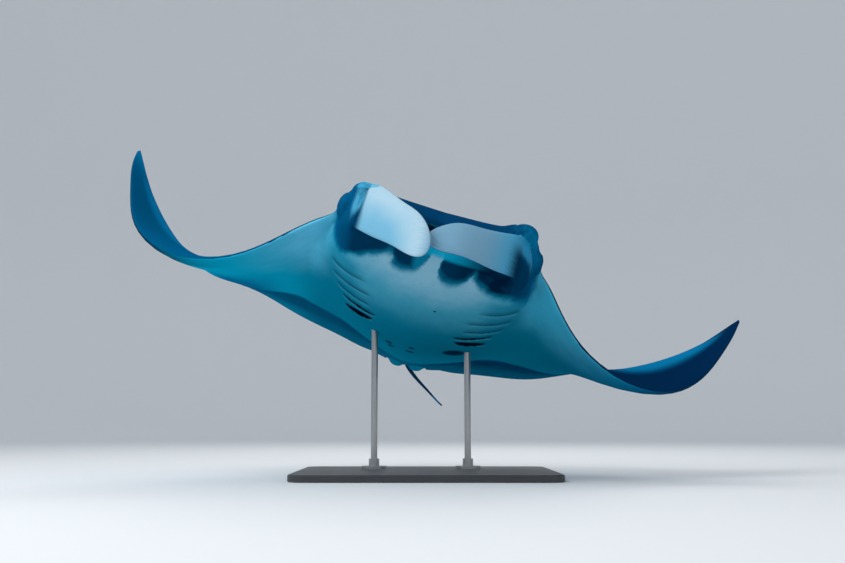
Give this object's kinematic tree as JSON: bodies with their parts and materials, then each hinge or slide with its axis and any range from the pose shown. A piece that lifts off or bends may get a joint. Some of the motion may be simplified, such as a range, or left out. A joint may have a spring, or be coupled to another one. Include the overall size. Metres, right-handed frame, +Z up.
{
  "type": "manta ray model",
  "caption": "Life-size manta ray gliding with wings swept up and mouth fins curled in front of the open mouth, held on two rods above a flat base.",
  "frame": {"origin": "centre of the stand base's underside, on the floor", "axes": "+Z up; the animal's head points towards -Y, its left wing towards +X and its tail towards +Y"},
  "size_m": [3.8098, 3.9864, 2.011],
  "materials": {
    "skin_dark": "dark slate skin of the back, wing tips and tail, matte and slightly rough",
    "skin_pale": "off-white skin of the belly, matte",
    "skin_fin": "near-white outer face of the mouth fins, matte",
    "eye": "wet dark eye",
    "stand_base": "dark grey satin paint",
    "stand_rod": "brushed steel"
  },
  "bodies": {
    "root": {"head": "skin_dark", "lower_jaw": "skin_pale", "trunk": "skin_pale", "pectoral_fin_right": "skin_pale", "pectoral_fin_left": "skin_pale", "pectoral_tip_right": "skin_dark", "pectoral_tip_left": "skin_dark", "cephalic_fin_right": "skin_fin", "cephalic_fin_left": "skin_fin", "eye_right": "eye", "eye_left": "eye", "dorsal_fin": "skin_dark", "pelvic_fin_right": "skin_pale", "pelvic_fin_left": "skin_pale", "tail_root": "skin_dark", "tail_middle": "skin_dark", "tail_end": "skin_dark", "stand_base": "stand_base", "stand_rod_right": "stand_rod", "stand_rod_left": "stand_rod", "stand_collar_right": "stand_rod", "stand_collar_left": "stand_rod"}
  },
  "joints": []
}
